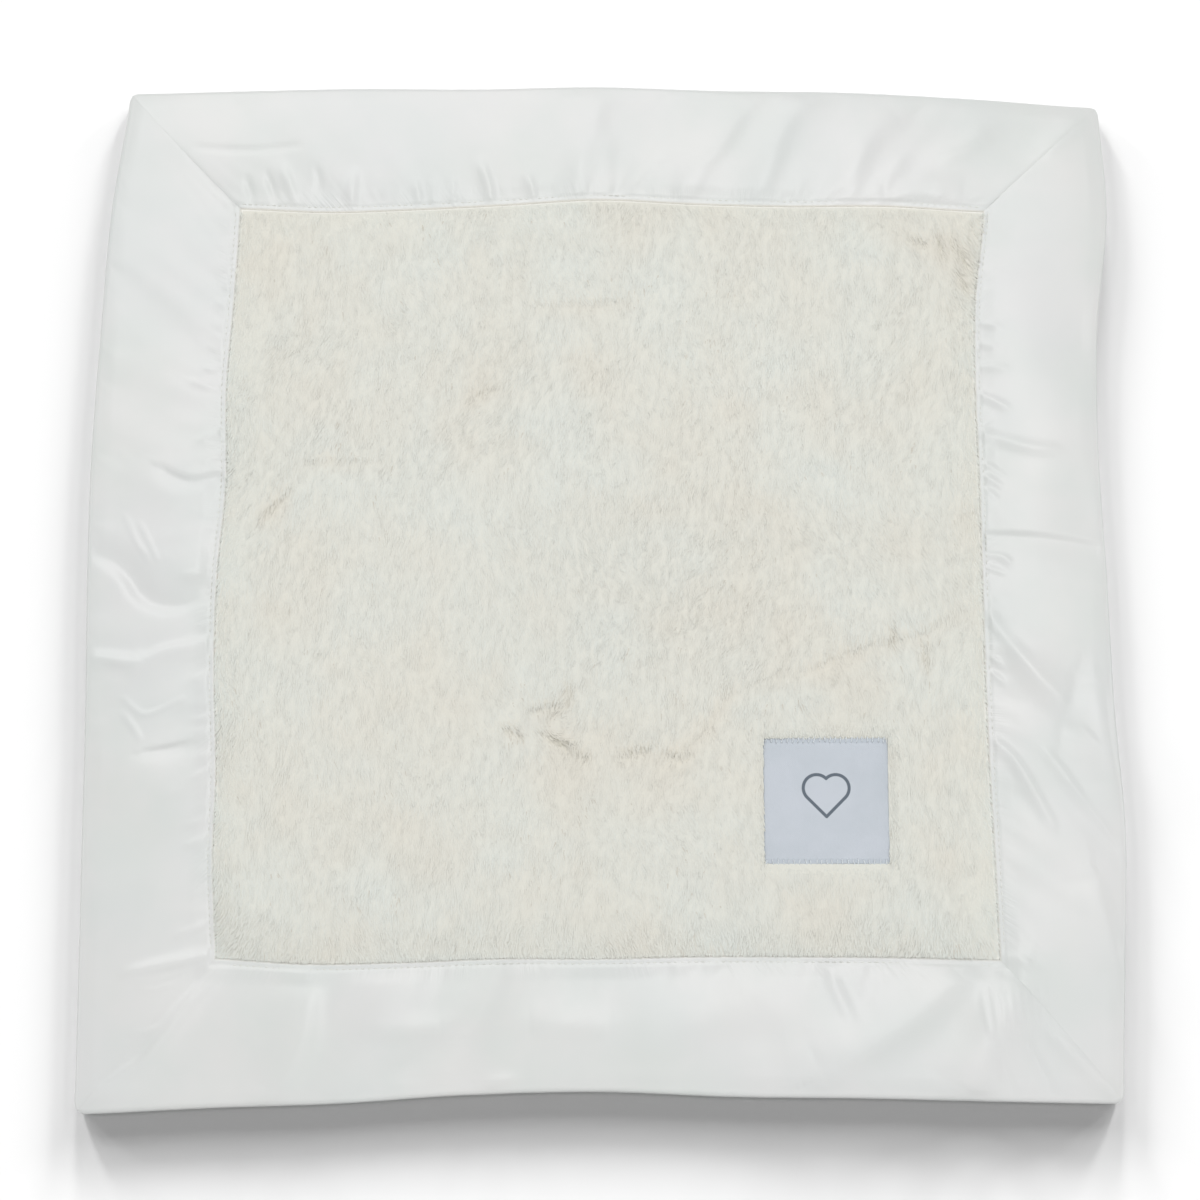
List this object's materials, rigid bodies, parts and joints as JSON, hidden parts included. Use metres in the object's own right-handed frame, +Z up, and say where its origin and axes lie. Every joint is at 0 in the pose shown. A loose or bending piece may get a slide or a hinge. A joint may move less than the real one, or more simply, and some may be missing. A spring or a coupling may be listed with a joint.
{
  "type": "comfort blanket",
  "caption": "Square baby comfort blanket of cream plush, bound with wide mitred satin and backed with satin, with a sewn-on woven label.",
  "frame": {"origin": "under the middle of the blanket's outline, on the surface it lies on", "axes": "+Z up out of the plush front, +Y towards the top edge, +X towards the side whose lower corner holds the label"},
  "size_m": [0.4064, 0.408, 0.0106],
  "materials": {
    "plush": "cream short-pile plush, pile lying towards the bottom edge",
    "backing_satin": "ivory polyester satin",
    "binding_satin": "ivory polyester satin, soft sheen",
    "sewing_thread": "ivory polyester sewing thread",
    "label_weave": "pale grey-blue woven satin label, plain",
    "label_thread": "grey-blue overcast thread"
  },
  "bodies": {
    "root": {"fur_panel": "plush", "backing_panel": "backing_satin", "binding_top": "binding_satin", "binding_right": "binding_satin", "binding_bottom": "binding_satin", "binding_left": "binding_satin", "topstitch_top": "sewing_thread", "topstitch_right": "sewing_thread", "topstitch_bottom": "sewing_thread", "topstitch_left": "sewing_thread", "bobbin_thread_top": "sewing_thread", "bobbin_thread_right": "sewing_thread", "bobbin_thread_bottom": "sewing_thread", "bobbin_thread_left": "sewing_thread", "mitre_thread_top_left": "sewing_thread", "mitre_thread_top_right": "sewing_thread", "mitre_thread_bottom_left": "sewing_thread", "mitre_thread_bottom_right": "sewing_thread", "label": "label_weave", "label_stitch_top": "label_thread", "label_stitch_bottom": "label_thread"}
  },
  "joints": []
}
